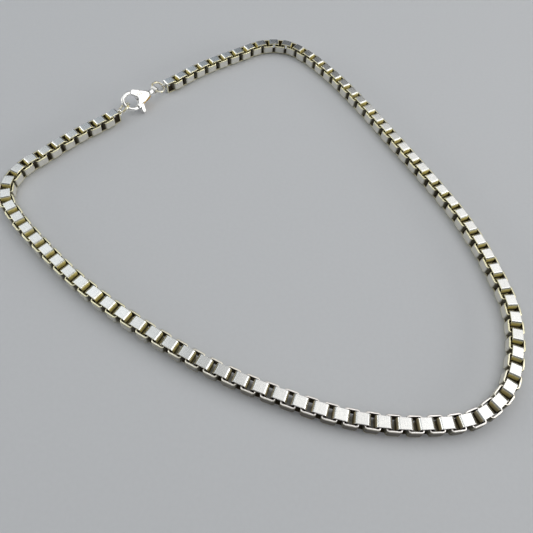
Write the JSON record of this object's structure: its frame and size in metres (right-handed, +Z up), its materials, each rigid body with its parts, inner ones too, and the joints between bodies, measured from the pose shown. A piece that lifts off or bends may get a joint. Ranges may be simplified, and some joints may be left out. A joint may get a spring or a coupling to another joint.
{
  "type": "box chain necklace",
  "caption": "Square box chain necklace of bent strip links, closed by a lobster clasp with a sprung lever and two jump rings, lying in a loose triangle.",
  "frame": {"origin": "middle of the necklace's outline, on the surface that it lies on", "axes": "+Z up from the surface, +X to the right and +Y away from the viewer, as the necklace lies"},
  "size_m": [0.1585, 0.1501, 0.0068],
  "materials": {
    "chain_silver": "worn satin silver, tarnished between the links",
    "clasp_silver": "polished silver",
    "ring_silver": "warm worn silver"
  },
  "bodies": {
    "necklace": {"box_chain": "chain_silver", "ring_left": "ring_silver", "ring_right": "ring_silver", "clasp_body": "clasp_silver", "lever_pin": "ring_silver"},
    "lever": {"clasp_lever": "clasp_silver"}
  },
  "joints": [
    {"name": "lever_press", "type": "hinge", "parent": "necklace", "child": "lever", "pos_m": [-0.04523, 0.03389, 0.00446], "axis": [0.4718, -0.3576, 0.8059], "range_deg": [0, 25], "stiffness_Nm_per_rad": 0.005, "springref_deg": -11.46}
  ]
}
